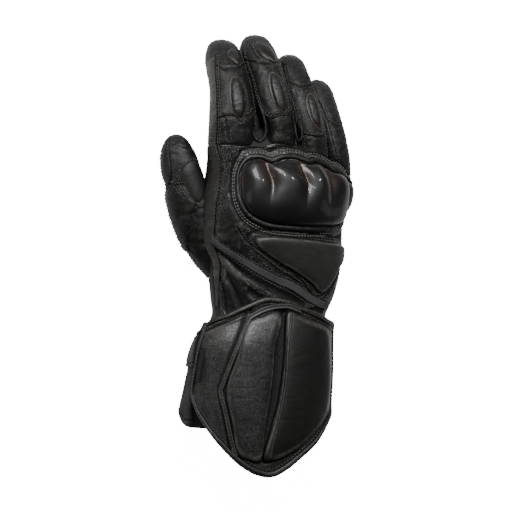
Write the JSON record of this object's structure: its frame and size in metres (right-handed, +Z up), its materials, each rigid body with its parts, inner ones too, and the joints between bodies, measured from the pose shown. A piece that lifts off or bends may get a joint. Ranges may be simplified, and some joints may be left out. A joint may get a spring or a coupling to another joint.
{
  "type": "motorcycle glove",
  "caption": "Long-gauntlet leather motorcycle glove for the right hand, palm down, with a hard knuckle guard, padded back and finger joints, and a flared cuff with a strap.",
  "frame": {"origin": "centre of the bounding box in plan, on the surface that the glove lies on", "axes": "+Y from the cuff to the fingertips, +Z up out of the back of the hand, +X towards the little finger"},
  "size_m": [0.1506, 0.3398, 0.0655],
  "materials": {
    "leather": "satin",
    "smooth_leather": "satin",
    "palm_leather": "matte",
    "hard_shell": "gloss",
    "grey_trim": "matte",
    "webbing": "matte"
  },
  "bodies": {
    "root": {"hand_back": "leather", "side_panel": "leather", "palm": "palm_leather", "index_finger": "leather", "middle_finger": "leather", "ring_finger": "leather", "little_finger": "leather", "thumb": "leather", "cuff_back": "leather", "cuff_palm": "palm_leather", "cuff_binding": "leather", "cuff_pad_inner": "leather", "cuff_pad_outer": "smooth_leather", "knuckle_guard": "hard_shell", "guard_border": "leather", "back_pad": "smooth_leather", "accent_stripe": "grey_trim", "index_joint_pad": "leather", "index_tip_pad": "leather", "middle_joint_pad": "leather", "middle_tip_pad": "leather", "ring_joint_pad": "leather", "thumb_patch": "smooth_leather", "closure_strap": "leather", "label_tab": "webbing"}
  },
  "joints": []
}
